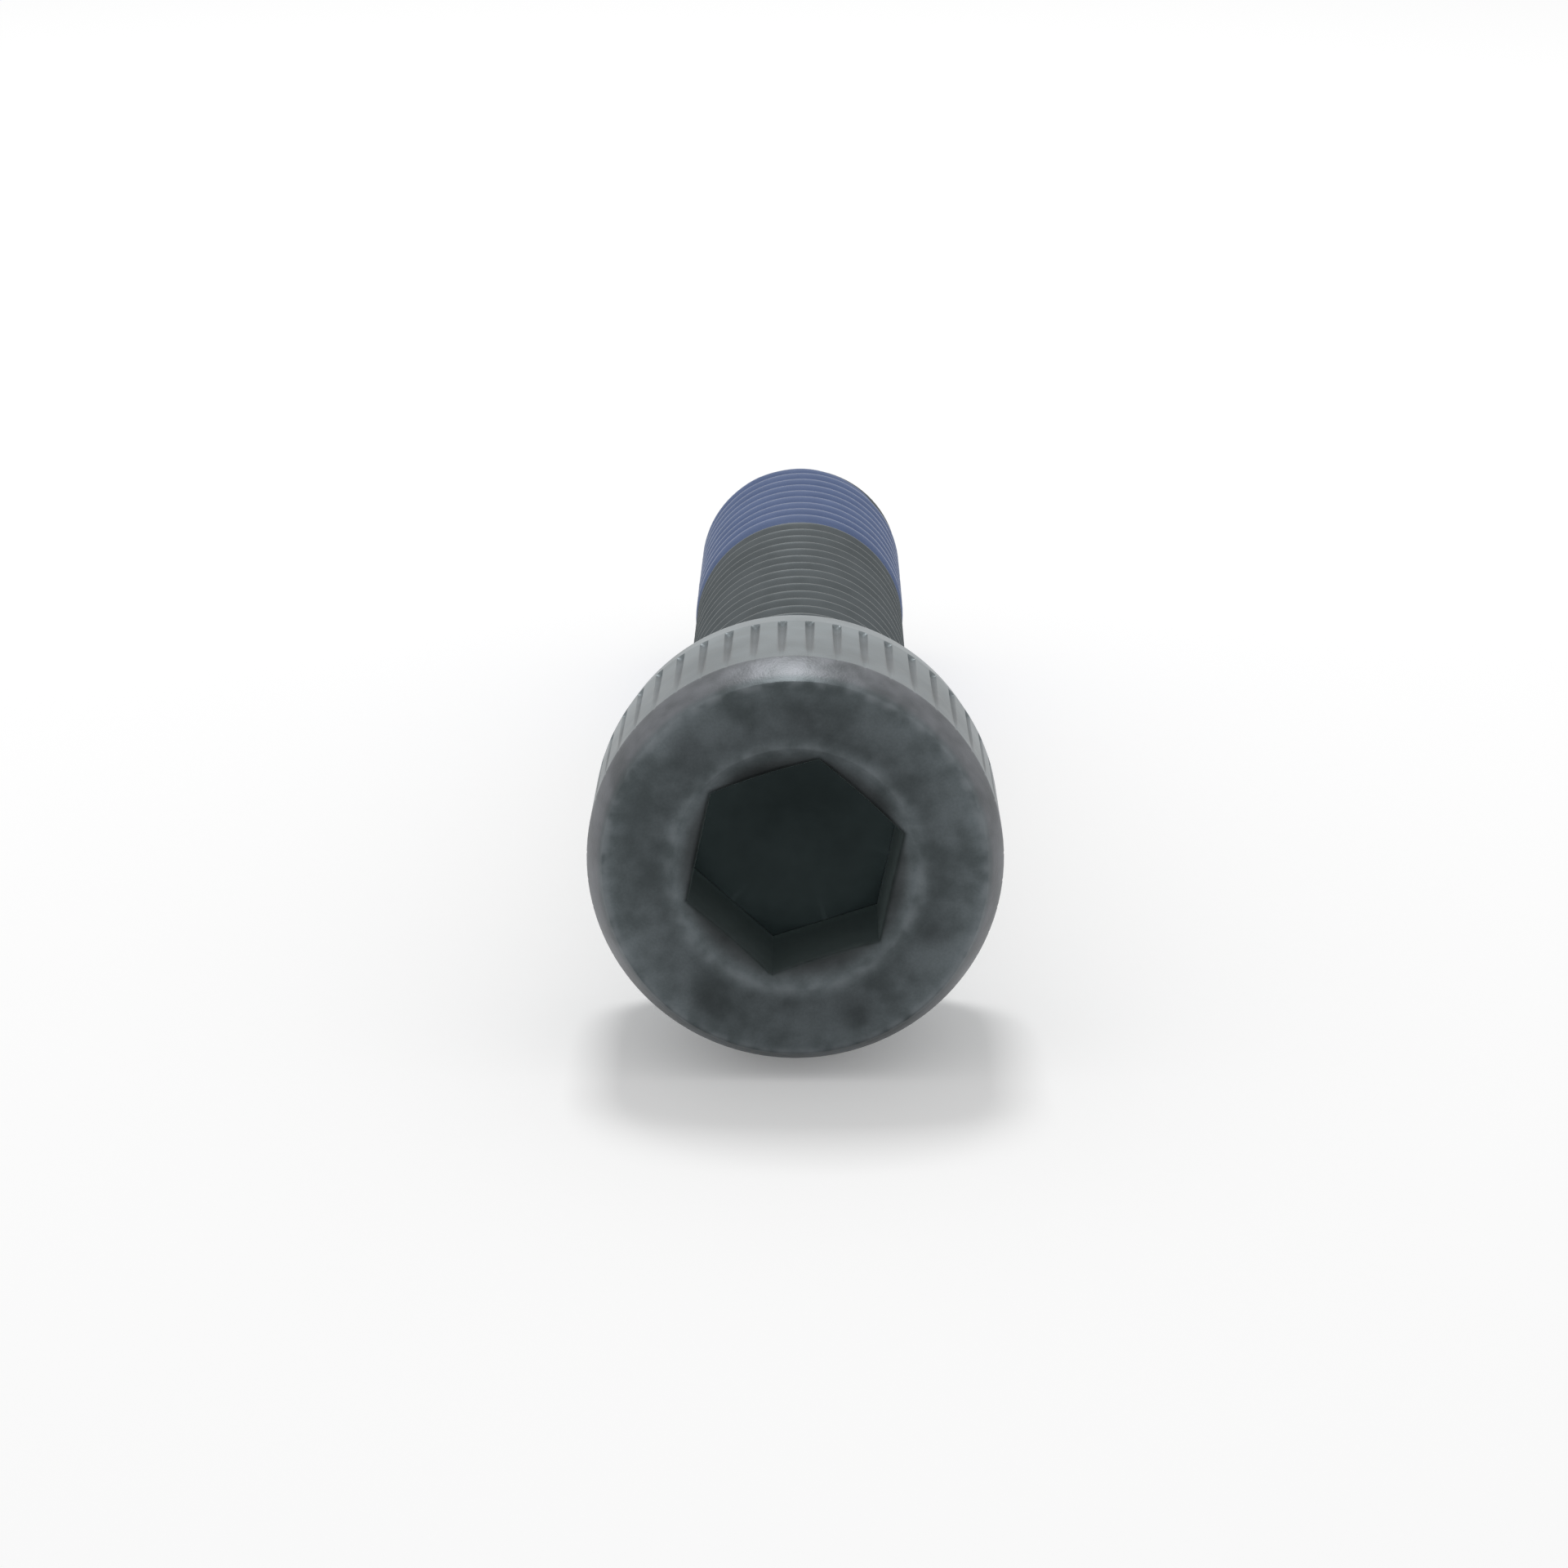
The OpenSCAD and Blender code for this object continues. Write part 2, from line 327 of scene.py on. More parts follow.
class Nodes:
    """Adds nodes to one tree and feeds their sockets."""

    def __init__(self, tree):
        self.tree = tree

    def add(self, kind, settings=None, values=None, output=0):
        """A new node with its settings made first and its sockets fed, as one of its outputs."""
        node = self.tree.nodes.new(kind)
        for name, setting in (settings or {}).items():
            if name == "stops":
                self.set_stops(node.color_ramp, setting)
            else:
                setattr(node, name, setting)
        for key, value in (values or {}).items():
            self.feed(node.inputs[key], value)
        return Value(self, node.outputs[output]) if len(node.outputs) else None

    def feed(self, socket, value):
        """Links a value, or each of a list of them, to a socket, or sets its number or colour."""
        if isinstance(value, Value):
            self.tree.links.new(value.socket, socket)
        elif isinstance(value, list):
            for one in value:
                self.tree.links.new(one.socket, socket)
        elif socket.type == "RGBA":
            socket.default_value = (*value, 1)
        else:
            socket.default_value = value

    @staticmethod
    def set_stops(ramp, stops):
        """Gives a ramp its stops, each a position and a grey."""
        while len(ramp.elements) < len(stops):
            ramp.elements.new(1)
        for element, (position, grey) in zip(ramp.elements, stops):
            element.position = position
            element.color = (grey, grey, grey, 1)

    def math(self, operation, *values, clamp=False):
        """A Math node's result."""
        settings = {"operation": operation, "use_clamp": clamp}
        return self.add("ShaderNodeMath", settings, dict(enumerate(values)))

    def floor(self, value):
        return self.math("FLOOR", value)

    def least(self, one, other):
        return self.math("MINIMUM", one, other)

    def most(self, one, other):
        return self.math("MAXIMUM", one, other)

    def clamped(self, value):
        """The value kept from 0 to 1."""
        return self.math("ADD", value, 0, clamp=True)

    def ease(self, value, low, high):
        """0 below low and 1 above high, with a soft start and end."""
        values = {"Value": value, "From Min": low, "From Max": high}
        return self.add("ShaderNodeMapRange", {"interpolation_type": "SMOOTHSTEP"}, values)

    def blend(self, factor, first, second):
        """One number at factor 0, the other at factor 1."""
        return self.add("ShaderNodeMix", {"data_type": "FLOAT"}, {0: factor, 2: first, 3: second})

    def tint(self, factor, first, second, how="MIX"):
        """One colour at factor 0, the other at factor 1."""
        settings = {"data_type": "RGBA", "blend_type": how}
        return self.add("ShaderNodeMix", settings, {0: factor, 6: first, 7: second}, output=2)

    def split(self, vector):
        """The three numbers of a vector."""
        parts = self.add("ShaderNodeSeparateXYZ", None, {0: vector})
        return parts, parts.output(1), parts.output(2)

    def joined(self, x, y, z):
        """A vector of three numbers."""
        return self.add("ShaderNodeCombineXYZ", None, {0: x, 1: y, 2: z})

    def noise(self, vector, size, detail, roughness=0.5):
        """Soft noise from 0 to 1 whose blots are about that size."""
        return self.add("ShaderNodeTexNoise", None, {
            "Vector": vector, "Scale": 1 / size, "Detail": detail, "Roughness": roughness,
        })

    def store(self, geometry, name, value):
        """The geometry with a number at each point, for its material."""
        return self.add("GeometryNodeStoreNamedAttribute", {"data_type": "FLOAT"}, {
            "Geometry": geometry, "Name": name, "Value": value,
        })

    def move(self, geometry, radius, angle, height):
        """The geometry with each point at a radius and an angle round the axis and at a height."""
        x, y = radius * self.math("COSINE", angle), radius * self.math("SINE", angle)
        return self.add("GeometryNodeSetPosition", None, {
            "Geometry": geometry, "Position": self.joined(x, y, height),
        })

    def weld(self, *parts):
        """Parts as one geometry, with the points that meet merged."""
        whole = self.add("GeometryNodeJoinGeometry", None, {0: list(parts)})
        return self.add("GeometryNodeMergeByDistance", None, {"Geometry": whole, "Distance": WELD})


SOCKET_KINDS = {
    int: "NodeSocketInt", float: "NodeSocketFloat", bpy.types.Material: "NodeSocketMaterial",
}


def geometry_tree(name, values):
    """A geometry tree with an input for each named value: its nodes, and the inputs by name."""
    tree = bpy.data.node_groups.new(name, "GeometryNodeTree")
    tree.interface.new_socket("Geometry", in_out="INPUT", socket_type="NodeSocketGeometry")
    tree.interface.new_socket("Geometry", in_out="OUTPUT", socket_type="NodeSocketGeometry")
    for label, value in values.items():
        kind = SOCKET_KINDS[type(value)]
        tree.interface.new_socket(label, in_out="INPUT", socket_type=kind)
    nodes = Nodes(tree)
    given = nodes.add("NodeGroupInput")
    return nodes, {label: given.output(label) for label in ("Geometry", *values)}


def end_tree(nodes, geometry, material):
    """Ends a tree with real faces and their material."""
    real = nodes.add("GeometryNodeRealizeInstances", None, {0: geometry})
    dressed = nodes.add("GeometryNodeSetMaterial", None, {"Geometry": real, "Material": material})
    nodes.add("NodeGroupOutput", None, {0: dressed})
    return nodes.tree


def new_object(name, data):
    """An object with this data, in the scene."""
    thing = bpy.data.objects.new(name, data)
    bpy.context.scene.collection.objects.link(thing)
    return thing


def grown(name, tree, values, base=None):
    """The plain mesh that a tree makes, from a base mesh if it needs one, with these inputs."""
    holder = new_object(name, base or bpy.data.meshes.new(name))
    modifier = holder.modifiers.new(name, "NODES")
    modifier.node_group = tree
    for item in tree.interface.items_tree:
        if item.in_out == "INPUT" and item.name in values:
            modifier[item.identifier] = values[item.name]
    graph = bpy.context.evaluated_depsgraph_get()
    mesh = bpy.data.meshes.new_from_object(
        holder.evaluated_get(graph), preserve_all_data_layers=True, depsgraph=graph
    )
    bpy.data.objects.remove(holder)
    return mesh


# ---- Head ------------------------------------------------

# Where rings of faces lie on each stretch of the socket, from the floor's middle to the mouth
FLOOR_RINGS = (0, 0.3, 0.65, 1)
WALL_RINGS = (0.03, 0.2, 0.45, 0.7, 0.88, 1)
ROUNDING_RINGS = (0.25, 0.5, 0.75, 1)
MOUTH_RINGS = (0.3, 0.6, 1)
# Where they lie on the bearing face, from the rim to the neck's foot
BEARING_RINGS = (0.4, 0.8)
# Steps of each stretch of the outline
FACE_STEPS = 14
BEVEL_STEPS = 8
GROOVE_STEPS = 14
END_STEPS = 5
FILLET_STEPS = 5
# The head has eight columns of faces to a groove, and four of them meet one side of the neck
COLUMNS_PER_GROOVE = 8
COLUMNS_PER_SIDE = 4


def rounded_path(corners, steps=3):
    """Points along corners, each (radius, height, rounding), with the corners turned to arcs."""
    path = [corners[0][:2]]
    for before, corner, after in zip(corners, corners[1:], corners[2:]):
        at = Vector(corner[:2])
        if not corner[2]:
            path.append(corner[:2])
            continue
        back = (Vector(before[:2]) - at).normalized() * corner[2]
        ahead = (Vector(after[:2]) - at).normalized() * corner[2]
        for step in range(steps + 1):
            t = step / steps
            path.append(tuple(at + back * (1 - t) ** 2 + ahead * t**2))
    path.append(corners[-1][:2])
    return path


def spaced(first, last, steps, bulge=0.0):
    """Points between two points of a path, without the two, bulging to the right of the way."""
    first, last = Vector(first), Vector(last)
    ahead = (last - first).normalized()
    right = Vector((ahead.y, -ahead.x)) * bulge
    shares = [k / steps for k in range(1, steps)]
    return [(*(first.lerp(last, t) + right * (4 * t * (1 - t))), 0) for t in shares]


def socket_rings(head, socket, angles):
    """Rings from the floor's middle to the mouth, each (radius, height, angles of its points)."""
    face = -head.height
    floor = face + socket.depth
    flat = socket.across_flats / 2
    mouth = socket.mouth_diameter / 2
    slope = math.tan(socket.mouth_angle)
    # The columns nearest to the six corners move onto them
    corners = socket.turn - TAU / 4 + TAU / 6 * np.arange(6)
    snapped = angles.copy()
    step = TAU / len(angles)
    for corner in corners:
        snapped[round(corner / step) % len(angles)] = corner % TAU
    from_flat = (snapped - corners[0]) % (TAU / 6) - TAU / 12
    wall = flat / np.cos(from_flat)
    top = face + (mouth - wall) * slope
    soft = socket.mouth_round
    rings = [(flat * t, floor + socket.cone_height * (1 - t), angles) for t in FLOOR_RINGS]
    rings.append((wall, floor, snapped))
    low = top + soft
    rings += [(wall, floor + (low - floor) * t, snapped) for t in WALL_RINGS]
    lean = Vector((1, -slope)).normalized() * soft
    for t in ROUNDING_RINGS:
        height = top + soft * (1 - t) ** 2 + lean.y * t**2
        rings.append((wall + lean.x * t**2, height, snapped))
    for t in MOUTH_RINGS:
        radius = wall + lean.x + (mouth - head.edge_round - wall - lean.x) * t
        turn = snapped + ((angles - snapped + math.pi) % TAU - math.pi) * t
        rings.append((radius, face + (mouth - radius) * slope, turn))
    return rings


def outer_path(head, knurl, socket, thread):
    """The head's outline from the socket's mouth, over the side, towards the foot of the neck."""
    face = -head.height
    mouth = socket.mouth_diameter / 2
    side = head.diameter / 2
    edge = side - head.bevel_width
    shoulder = face + head.bevel_height
    soft = head.edge_round
    groove_top = face + knurl.start
    groove_turn = face + knurl.end - knurl.radius
    groove_end = face + knurl.end
    rim = side - head.rim_taper
    foot = thread_blank_radius(thread) + thread.neck_fillet
    slope = math.tan(socket.mouth_angle)
    return rounded_path([
        (mouth - soft, face + soft * slope, 0),
        (mouth, face, soft),
        *spaced((mouth, face), (edge, face), FACE_STEPS),
        (edge, face, head.bevel_round),
        *spaced((edge, face), (side, shoulder), BEVEL_STEPS, head.bevel_bulge),
        (side, shoulder, soft / 2),
        (side, groove_top, 0),
        *spaced((side, groove_top), (side, groove_turn), GROOVE_STEPS),
        (side, groove_turn, 0),
        *spaced((side, groove_turn), (side, groove_end), END_STEPS),
        (side, groove_end, 0),
        (side, -head.rim_height, soft / 2),
        *spaced((side, -head.rim_height), (rim, -head.rim_break), END_STEPS),
        (rim, -head.rim_break, soft),
        (rim - head.rim_break, 0, soft),
        *((rim + (foot - rim) * t, 0, 0) for t in BEARING_RINGS),
    ])


def thread_blank_radius(thread):
    """Radius of the rod that the thread is rolled from."""
    return thread.diameter / 2 - 3 / 8 * thread.pitch * math.cos(HALF_FLANK_ANGLE)


def neck_path(thread):
    """The outline of the fillet on the bearing face and of the plain neck."""
    neck = thread_blank_radius(thread)
    fillet = thread.neck_fillet
    curve = [TAU / 4 * k / FILLET_STEPS for k in range(FILLET_STEPS + 1)]
    path = [(neck + fillet * (1 - math.sin(t)), fillet * (1 - math.cos(t))) for t in curve]
    return [*path, (neck, thread.neck_length)]


def thread_sides(knurl):
    """Sides round the neck and the thread."""
    return knurl.count * COLUMNS_PER_GROOVE // COLUMNS_PER_SIDE


def ring_angles(columns):
    """The angles of points spread evenly round the axis."""
    return TAU * np.arange(columns) / columns


def ring_points(rings):
    """The points of rings, each (radius, height, angles)."""
    return [np.stack((r * np.cos(a), r * np.sin(a), z + 0 * a), 1) for r, z, a in rings]


def ring_faces(start, rings, columns):
    """Quads between neighbouring rings of as many columns, whose points count from a start."""
    column = np.arange(columns)
    following = (column + 1) % columns
    faces = []
    for here in start + columns * np.arange(rings - 1):
        there = here + columns
        quads = here + column, here + following, there + following, there + column
        faces += np.stack(quads, 1).tolist()
    return faces


def bearing_faces(outer, inner, sides):
    """Faces from the bearing face's last ring to the neck's, in fans of four columns to a side."""
    columns = COLUMNS_PER_SIDE * sides
    faces = []
    for k in range(sides):
        a = [outer + (COLUMNS_PER_SIDE * k + n) % columns for n in range(COLUMNS_PER_SIDE + 1)]
        b = inner + k
        c = inner + (k + 1) % sides
        faces += [(a[0], a[1], b), (a[1], a[2], b), (a[2], c, b), (a[2], a[3], c), (a[3], a[4], c)]
    return faces


def blank_head(head, knurl, socket, thread):
    """The head without its grooves, open at the end of its neck, as a mesh."""
    sides = thread_sides(knurl)
    columns = sides * COLUMNS_PER_SIDE
    angles = ring_angles(columns)
    rings = socket_rings(head, socket, angles)
    rings += [(radius, height, angles) for radius, height in outer_path(head, knurl, socket, thread)]
    neck = [(radius, height, ring_angles(sides)) for radius, height in neck_path(thread)]
    start = len(rings) * columns
    faces = ring_faces(0, len(rings), columns)
    faces += bearing_faces(start - columns, start, sides)
    faces += ring_faces(start, len(neck), sides)
    mesh = bpy.data.meshes.new("head")
    mesh.from_pydata(np.concatenate(ring_points(rings + neck)).tolist(), [], faces)
    return mesh


def knurl_values(head, knurl, material):
    """Values of the knurling's inputs."""
    return {
        "Grooves": knurl.count,
        "First Groove": TAU / 4,
        "Head Radius": head.diameter / 2,
        "Face Radius": head.diameter / 2 - head.bevel_width,
        "Face Height": -head.height,
        "Start": knurl.start,
        "End": knurl.end,
        "Groove Radius": knurl.radius,
        "Depth at Start": knurl.depth_start,
        "Depth at End": knurl.depth_end,
        "Settle": knurl.settle,
        "Material": material,
    }


def knurl_tree(values):
    """Presses grooves into the side of a round head, deeper towards the bearing face."""
    nodes, size = geometry_tree("Knurling", values)
    x, y, z = nodes.split(nodes.add("GeometryNodeInputPosition"))
    radius = nodes.math("SQRT", x * x + y * y)
    angle = nodes.math("ARCTAN2", y, x)
    # Place round the head from the nearest groove's middle, in grooves, and depth below the face
    turn = (angle - size["First Groove"]) * size["Grooves"] / TAU
    aside = turn - nodes.math("ROUND", turn)
    along = z - size["Face Height"]
    turning = size["End"] - size["Groove Radius"]
    share = (along - size["Start"]) / (turning - size["Start"])
    extra = size["Depth at End"] - size["Depth at Start"]
    depth = size["Depth at Start"] + extra * nodes.least(share, 1)
    rest = size["Groove Radius"] - depth
    half_width = nodes.math("SQRT", size["Groove Radius"] ** 2 - rest * rest)
    # On each side of a groove's middle, all columns but one gather inside the groove
    column = abs(aside) * COLUMNS_PER_GROOVE
    inside = COLUMNS_PER_GROOVE // 2 - 1
    inner = half_width * nodes.math("SINE", nodes.least(column, inside) * (TAU / 4 / inside))
    half_pitch = math.pi * size["Head Radius"] / size["Grooves"]
    outer = nodes.most(column - inside, 0) * (half_pitch - half_width)
    even = abs(aside) * 2 * half_pitch
    # They gather over a third of the groove's length before it starts
    near_start = nodes.clamped(share * 3 + 1)
    near_end = nodes.clamped((size["End"] + size["Settle"] - along) / size["Settle"])
    gathered = near_start * near_end * (radius > size["Face Radius"])
    arc = nodes.blend(gathered, even, inner + outer)
    new_angle = angle + nodes.math("SIGN", aside) * (arc - even) / size["Head Radius"]
    # A groove's section is part of a circle, and its end part of a ball
    past = nodes.most(along - turning, 0)
    reach = size["Groove Radius"] ** 2 - arc * arc - past * past
    floor = size["Head Radius"] + rest - nodes.math("SQRT", nodes.most(reach, 0))
    pressed = (radius > size["Face Radius"]) * (reach > 0) * (share > -0.05)
    new_radius = nodes.blend(pressed, radius, nodes.least(radius, floor))
    hollow = nodes.clamped((radius - new_radius) / size["Depth at End"])
    stored = nodes.store(size["Geometry"], "hollow", hollow)
    return end_tree(nodes, nodes.move(stored, new_radius, new_angle, z), size["Material"])


# ---- Thread ----------------------------------------------


def thread_values(thread, sides, material):
    """Values of the inputs that every threaded wall has."""
    crest = thread.diameter / 2
    depth = FLANK_RUN * thread.pitch / math.tan(HALF_FLANK_ANGLE)
    return {
        "Pitch": thread.pitch,
        "Crest Radius": crest,
        "Root Radius": crest - depth,
        "Neck Radius": thread_blank_radius(thread),
        "Neck End": thread.neck_length,
        "Run-out": thread.runout,
        "Length": thread.length,
        "Tip Radius": thread.tip_diameter / 2,
        "Tip Chamfer": thread.tip_chamfer,
        "Sides": sides,
        "Rows per Pitch": thread.rows,
        "Material": material,
    }


def thread_surface(nodes, size, angle, height):
    """Radius of the steel at an angle and a height, and how much of a crest stands there."""
    turns = height / size["Pitch"] - angle / TAU
    part = turns - nodes.floor(turns)
    from_crest = 0.5 - abs(part - 0.5)
    ramp = (0.5 - ROOT_HALF - from_crest) / FLANK_RUN
    below = nodes.math("SMOOTH_MIN", ramp, 1, EDGE_SOFTNESS)
    crest = nodes.math("SMOOTH_MAX", below, 0, EDGE_SOFTNESS)
    full = size["Root Radius"] + (size["Crest Radius"] - size["Root Radius"]) * crest
    formed = nodes.ease(height, size["Neck End"], size["Neck End"] + size["Run-out"])
    threaded = nodes.blend(formed, size["Neck Radius"], full)
    slope = (size["Crest Radius"] - size["Tip Radius"]) / size["Tip Chamfer"]
    cone = size["Tip Radius"] + (size["Length"] - height) * slope
    return nodes.least(threaded, cone), crest, formed


def helical_grid(nodes, size, low, high, cap_rows):
    """A grid bent round the axis with its rows along the helix: its faces, angle, height and cap.

    Rows that would pass an end lie on that end. The cap goes from 0 to 1 over the rows after it.
    """
    first = nodes.floor(low / size["Pitch"]) - 1
    last = nodes.math("CEIL", high / size["Pitch"])
    rows = (last - first) * size["Rows per Pitch"]
    grid = nodes.add("GeometryNodeMeshGrid", None, {
        "Size X": 1, "Size Y": 1, "Vertices X": size["Sides"] + 1, "Vertices Y": rows + cap_rows + 1,
    })
    x, y, _ = nodes.split(nodes.add("GeometryNodeInputPosition"))
    column = x + 0.5
    row = (y + 0.5) * (rows + cap_rows)
    pitches = nodes.least(row, rows) / size["Rows per Pitch"]
    # The rows stand closer together at the crests and the roots than on the flanks
    crowded = pitches - nodes.math("SINE", pitches * (2 * TAU)) / (4 * TAU)
    height = size["Pitch"] * (first + crowded + column)
    height = nodes.least(nodes.most(height, low), high)
    cap = nodes.most(row - rows, 0) / max(cap_rows, 1)
    return grid, column * TAU, height, cap


def thread_tree(values):
    """Rolls the threaded wall, closes it at the tip and welds it to the neck of the given head."""
    nodes, size = geometry_tree("Thread", values)
    grid, angle, height, cap = helical_grid(nodes, size, size["Neck End"], size["Length"], 3)
    radius, crest, formed = thread_surface(nodes, size, angle, height)
    stored = nodes.store(grid, "hollow", (1 - crest) * formed * (1 - cap))
    wall = nodes.move(stored, radius * (1 - cap), angle, height)
    return end_tree(nodes, nodes.weld(size["Geometry"], wall), size["Material"])


# Widths of the coat's lumps and of the bays in its ends
LUMP_SIZE = 2.2 * MM
BAY_SIZE = 3.5 * MM
# Past its ragged end the coat runs on under the steel, as this share of its thickness
HIDDEN_SHARE = 0.05


def coat_values(coat, thread, sides, material):
    """Values of the coat's inputs."""
    to = thread.length - coat.tip_gap
    return {
        **thread_values(thread, sides, material),
        "From": to - coat.length,
        "To": to,
        "On Crest": coat.on_crest,
        "In Root": coat.in_root,
        "Fade": coat.fade,
        "Ragged": coat.ragged,
        "Sink": coat.sink,
        "Seed": coat.seed,
    }


def coat_tree(values):
    """Lays a lumpy coat on the thread between two heights, closed along its inner wall."""
    nodes, size = geometry_tree("Thread Coat", values)
    grid, angle, height, _ = helical_grid(nodes, size, size["From"], size["To"], 0)
    radius, crest, _ = thread_surface(nodes, size, angle, height)
    across = size["Crest Radius"] * nodes.math("COSINE", angle) + size["Seed"]
    along = size["Crest Radius"] * nodes.math("SINE", angle)
    shifted = nodes.joined(across, along, height)
    lumps = nodes.noise(shifted, LUMP_SIZE, detail=3)
    wander = nodes.noise(shifted, BAY_SIZE, detail=4, roughness=0.6) * size["Ragged"]
    from_end = nodes.least(height - size["From"], size["To"] - height) - wander
    # The outer and the inner wall meet on the two end rows, which closes the coat
    between = (height > size["From"]) * (height < size["To"])
    laid = nodes.most(nodes.ease(from_end, 0, size["Fade"]), HIDDEN_SHARE) * between
    full = nodes.blend(crest, size["In Root"], size["On Crest"])
    thick = nodes.least(full * (1.1 - 0.5 * nodes.clamped(lumps)), full)
    marked = nodes.store(nodes.store(grid, "hollow", 1 - crest), "laid", laid)
    outside = radius + (thick + size["Sink"]) * laid - size["Sink"]
    outer = nodes.move(marked, outside, angle, height)
    inner = nodes.move(marked, radius - size["Sink"], angle, height)
    inner = nodes.add("GeometryNodeFlipFaces", None, {0: inner})
    return end_tree(nodes, nodes.weld(outer, inner), size["Material"])


# ---- Materials -------------------------------------------


def new_material(name):
    """A material with an empty tree: itself and its nodes."""
    material = bpy.data.materials.new(name)
    material.use_nodes = True
    material.node_tree.nodes.clear()
    return material, Nodes(material.node_tree)


def screw_point(nodes):
    """The shaded point in the screw's own frame."""
    point = nodes.add("ShaderNodeTexCoord").output("Object")
    return nodes.add("ShaderNodeMapping", {"vector_type": "TEXTURE"}, {
        "Vector": point, "Location": PLACE.translation, "Rotation": PLACE.to_euler(),
    })


def attribute(nodes, name):
    """A number that the mesh carries."""
    return nodes.add("ShaderNodeAttribute", {"attribute_name": name}, output="Fac")


def shade(nodes, values):
    """Ends a material with the main shader, fed with these values."""
    shader = nodes.add("ShaderNodeBsdfPrincipled", None, values)
    nodes.add("ShaderNodeOutputMaterial", None, {"Surface": shader})


# Widths of the steel's mottling, from its clouds to its grain, and of the coat's
CLOUD_SIZE = 1.9 * MM
BLOT_SIZE = 0.6 * MM
GRAIN_SIZE = 0.09 * MM
CHALK_SIZE = 1.6 * MM
DUST_SIZE = 0.07 * MM
# How light the steel is in each region, against the mottled oxide's own colour: on the bevel and the
# side partly burnished steel and partly painted light, in the thread's roots painted light over their
# shade
BEVEL_TONE = 1.32
SIDE_TONE = 1.85
CREST_TONE = 1.08
ROOT_PAINTED_LIGHT_TONE = 1.62
# The same on the face: each a share of the head's radius, from the socket out, and the tone there; up
# to 0.52 painted shade into the socket, 0.555 to 0.6 a painted highlight on the mouth's edge
FACE_RINGS_AND_MOUTH_LIGHT = [
    (0.465, 0.29), (0.49, 0.36), (0.52, 0.54), (0.555, 0.92), (0.58, 1.05), (0.6, 0.96),
    (0.66, 0.71), (0.74, 0.8), (0.82, 0.88), (0.9, 1.07),
]
# Smudges on the face: turn from upright in degrees, and share of the head's radius
FACE_SMUDGES = [(3, 0.74), (-41, 0.76), (116, 0.74), (157, 0.76), (-147, 0.76)]
SMUDGE_RADIUS = 0.85 * MM
SMUDGE_DEPTH = 0.28


class Regions:
    """Where the shaded point is on the screw, and masks that are 1 in one region and 0 outside."""

    def __init__(self, nodes, head, socket):
        self.nodes = nodes
        self.point = screw_point(nodes)
        self.x, self.y, z = nodes.split(self.point)
        self.radius = nodes.math("SQRT", self.x * self.x + self.y * self.y)
        self.depth = z + head.height
        self.hollow = attribute(nodes, "hollow")
        shoulder = head.bevel_height
        self.face = 1 - nodes.ease(self.depth, 0.05 * MM, 0.4 * MM)
        self.side = nodes.ease(self.depth, shoulder - 0.1 * MM, shoulder + 0.1 * MM)
        self.thread = nodes.ease(self.depth, head.height + 0.02 * MM, head.height + 0.4 * MM)
        self.socket = (self.radius < socket.mouth_diameter / 2) * (self.depth < head.height)
        self.bevel = (1 - self.face) * (1 - self.side) * (1 - self.socket)

    def ring(self, radius, depth, width):
        """1 on a ring at a radius and a depth below the face, and 0 a width away from it."""
        across = self.radius - radius
        along = self.depth - depth
        return 1 - self.nodes.ease(self.nodes.math("SQRT", across * across + along * along), 0, width)


def face_tone(nodes, on, side, clouds, blots, grain):
    """How light the face is: painted shade and a painted highlight at the mouth, faint rings from the
    die, soft dark smudges, and a grain.
    """
    rings = nodes.add("ShaderNodeValToRGB", {"stops": FACE_RINGS_AND_MOUTH_LIGHT}, {"Fac": on.radius / side})
    smudges = 0
    for degrees, share in FACE_SMUDGES:
        turn = math.radians(degrees)
        # The mottling bends a smudge's outline
        away_x = on.x + (blots - 0.5) * (0.6 * MM) - share * side * math.sin(turn)
        away_y = on.y + (clouds - 0.5) * (0.9 * MM) + share * side * math.cos(turn)
        away = nodes.math("SQRT", away_x * away_x + away_y * away_y)
        smudges = nodes.most(smudges, 1 - nodes.ease(away, 0.1 * MM, SMUDGE_RADIUS))
    # The rings throw a little more light to the two sides than up and down
    sideways = (on.x * on.x - on.y * on.y) / (on.radius * on.radius)
    tone = rings * (1 - SMUDGE_DEPTH * smudges * on.face) * (1 + 0.09 * sideways)
    return tone * (0.84 + 0.32 * grain)


def steel_tone(nodes, on, head, clouds, blots, grain):
    """How light the steel is, all over the screw, partly as painted light."""
    head_tone = nodes.blend(on.side, BEVEL_TONE, SIDE_TONE)
    thread_tone = nodes.blend(on.hollow, CREST_TONE, ROOT_PAINTED_LIGHT_TONE)
    off_face = nodes.blend(on.thread, head_tone, thread_tone)
    on_face = face_tone(nodes, on, head.diameter / 2, clouds, blots, grain)
    tone = nodes.blend(nodes.most(on.face, on.socket), off_face, on_face)
    # The side is lighter towards the bearing face
    return tone * (1 + 0.22 * nodes.ease(on.depth, 3.4 * MM, 6 * MM) * (1 - on.thread))


def edge_wear(nodes, on, head, socket, blots):
    """1 where the oxide has rubbed thin on the head's round edges, broken up by blots."""
    side = head.diameter / 2
    inner = on.ring(side - head.bevel_width, 0, 0.25 * MM)
    mouth = on.ring(socket.mouth_diameter / 2, 0, 0.3 * MM) * 0.5
    rim = on.ring(side - head.rim_taper, head.height - head.rim_break, 0.3 * MM)
    return nodes.most(nodes.most(inner, mouth), rim) * nodes.ease(blots, 0.3, 0.65)


